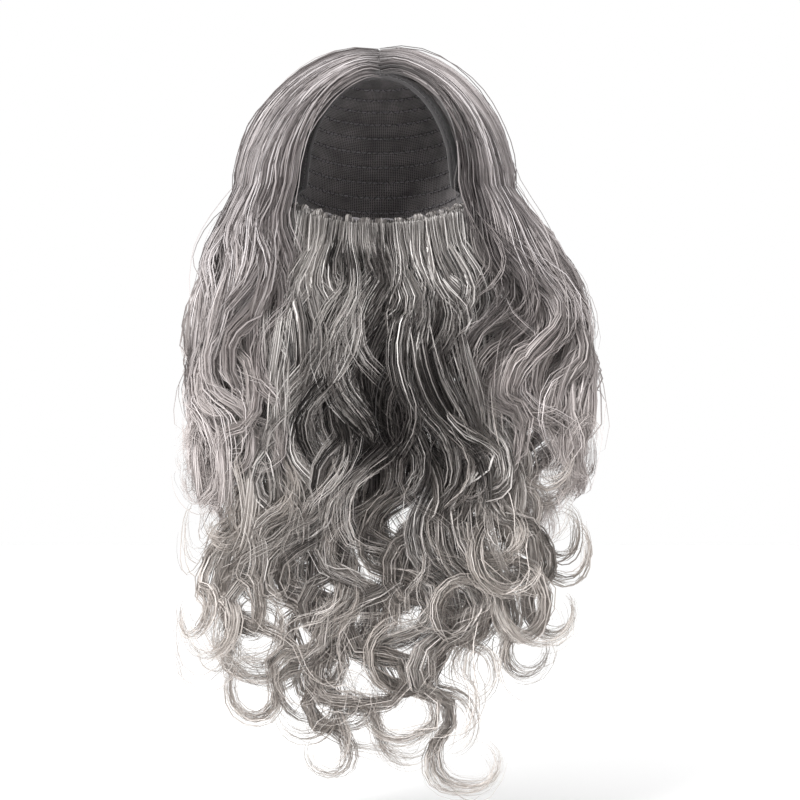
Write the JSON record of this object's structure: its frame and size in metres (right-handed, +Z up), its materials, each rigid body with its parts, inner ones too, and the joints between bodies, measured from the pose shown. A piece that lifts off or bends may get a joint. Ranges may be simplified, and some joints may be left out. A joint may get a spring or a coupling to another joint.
{
  "type": "wizard wig with beard",
  "caption": "Long wavy grey wig on a hollow cap with a centre parting, worn with a long wavy full beard on a curved band and strap.",
  "frame": {"origin": "crown of the head, on the inside of the cap", "axes": "+Z up, the face looks along -Y, +X at the right of the front view"},
  "size_m": [0.3472, 0.2457, 0.622],
  "materials": {
    "cap_net": "dark elastic net with sewn weft rows",
    "band": "dark elastic band",
    "wig_hair": "synthetic hair, silver grey, soft sheen",
    "beard_weft": "gathered and sewn hair edge",
    "beard_hair": "synthetic hair, mixed grey, soft sheen",
    "strap": "woven elastic"
  },
  "bodies": {
    "root": {"wig_cap": "cap_net", "cap_front_band": "band", "parting_strip": "band", "hair_left": "wig_hair", "hair_right": "wig_hair", "hair_back": "wig_hair", "beard_backing": "cap_net", "beard_edge": "beard_weft", "beard_hair": "beard_hair", "beard_strap": "strap"}
  },
  "joints": []
}
